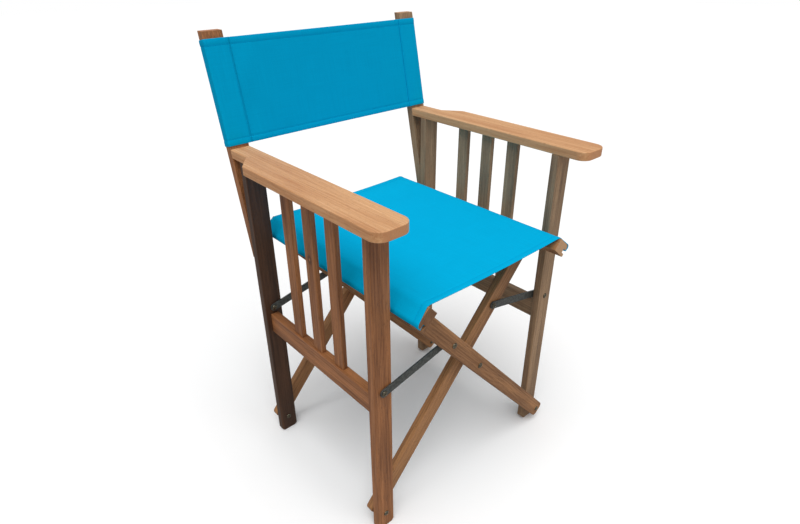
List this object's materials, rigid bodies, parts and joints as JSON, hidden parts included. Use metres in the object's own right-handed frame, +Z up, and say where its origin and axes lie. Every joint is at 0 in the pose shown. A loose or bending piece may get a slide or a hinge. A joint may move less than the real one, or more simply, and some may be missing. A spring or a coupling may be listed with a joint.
{
  "type": "folding chair",
  "caption": "Folding wooden armchair with crossing bars and a canvas sling seat and back; the sides fold together.",
  "frame": {"origin": "on the floor, under the middle of the open chair's bounding box", "axes": "+Z up; the sitter faces -Y; +X to the right as seen from the front"},
  "size_m": [0.53, 0.495, 0.84],
  "materials": {
    "armrest_wood": "oiled hardwood, lighter on the armrests",
    "left_frame_wood": "oiled hardwood",
    "right_frame_wood": "oiled hardwood",
    "bar_wood": "oiled hardwood",
    "dowel_wood": "plain softwood dowel",
    "seat_canvas": "woven cotton canvas",
    "back_canvas": "woven cotton canvas",
    "link_steel": "dark grey-green flat steel",
    "zinc": "zinc-plated steel"
  },
  "bodies": {
    "left_frame": {"left_front_post": "left_frame_wood", "left_rear_post": "left_frame_wood", "left_lower_side_rail": "left_frame_wood", "left_slat_front": "left_frame_wood", "left_slat_middle": "left_frame_wood", "left_slat_rear": "left_frame_wood", "left_armrest": "armrest_wood", "left_back_upright": "left_frame_wood", "left_upright_screws": "zinc", "left_foot_pivot_bolts": "zinc", "left_foot_pivot_nuts": "zinc", "left_foot_spacers": "zinc", "left_link_post_bolts": "zinc", "left_link_post_nuts": "zinc", "left_link_washers": "zinc", "back_canvas": "back_canvas"},
    "right_frame": {"right_front_post": "right_frame_wood", "right_rear_post": "right_frame_wood", "right_lower_side_rail": "right_frame_wood", "right_slat_front": "right_frame_wood", "right_slat_middle": "right_frame_wood", "right_slat_rear": "right_frame_wood", "right_armrest": "armrest_wood", "right_back_upright": "right_frame_wood", "right_upright_screws": "zinc", "right_foot_pivot_bolts": "zinc", "right_foot_pivot_nuts": "zinc", "right_foot_spacers": "zinc", "right_link_post_bolts": "zinc", "right_link_post_nuts": "zinc", "right_link_washers": "zinc"},
    "bars_b": {"bar_b_front": "bar_wood", "bar_b_rear": "bar_wood", "right_seat_rail": "bar_wood", "right_seat_rail_screws": "zinc", "right_hem_dowel": "dowel_wood", "right_bar_link_bolts": "zinc", "crossing_pivot_bolts": "zinc", "crossing_pivot_nuts": "zinc", "crossing_spacers": "zinc"},
    "bars_a": {"bar_a_front": "bar_wood", "bar_a_rear": "bar_wood", "left_seat_rail": "bar_wood", "left_seat_rail_screws": "zinc", "left_hem_dowel": "dowel_wood", "left_bar_link_bolts": "zinc", "seat_canvas": "seat_canvas"},
    "links_left": {"left_front_link": "link_steel", "left_rear_link": "link_steel", "left_link_studs": "zinc"},
    "links_right": {"right_front_link": "link_steel", "right_rear_link": "link_steel", "right_link_studs": "zinc"}
  },
  "joints": [
    {"name": "fold", "type": "hinge", "parent": "left_frame", "child": "bars_b", "pos_m": [-0.2185, 0, 0.035], "axis": [0, -1, 0], "range_deg": [0, 27.82], "deforming": ["back_canvas"]},
    {"name": "bars_crossing", "type": "hinge", "parent": "bars_b", "child": "bars_a", "pos_m": [0, 0, 0.281], "axis": [0, -1, 0], "range_deg": [-63.23, 0], "deforming": ["seat_canvas"]},
    {"name": "right_foot_pivot", "type": "hinge", "parent": "bars_a", "child": "right_frame", "pos_m": [0.2185, 0, 0.035], "axis": [0, -1, 0], "range_deg": [0, 27.83]},
    {"name": "left_link_pivot", "type": "hinge", "parent": "left_frame", "child": "links_left", "pos_m": [-0.2185, 0, 0.3325], "axis": [0, -1, 0], "range_deg": [0, 51.09]},
    {"name": "right_link_pivot", "type": "hinge", "parent": "right_frame", "child": "links_right", "pos_m": [0.2185, 0, 0.3325], "axis": [0, -1, 0], "range_deg": [-51.09, 0]}
  ],
  "couplings": [
    {"joint": "bars_crossing", "follows": "fold", "ratio": -2.2727},
    {"joint": "right_foot_pivot", "follows": "fold", "ratio": 1},
    {"joint": "left_link_pivot", "follows": "fold", "ratio": 1.8361},
    {"joint": "right_link_pivot", "follows": "fold", "ratio": -1.8361}
  ]
}
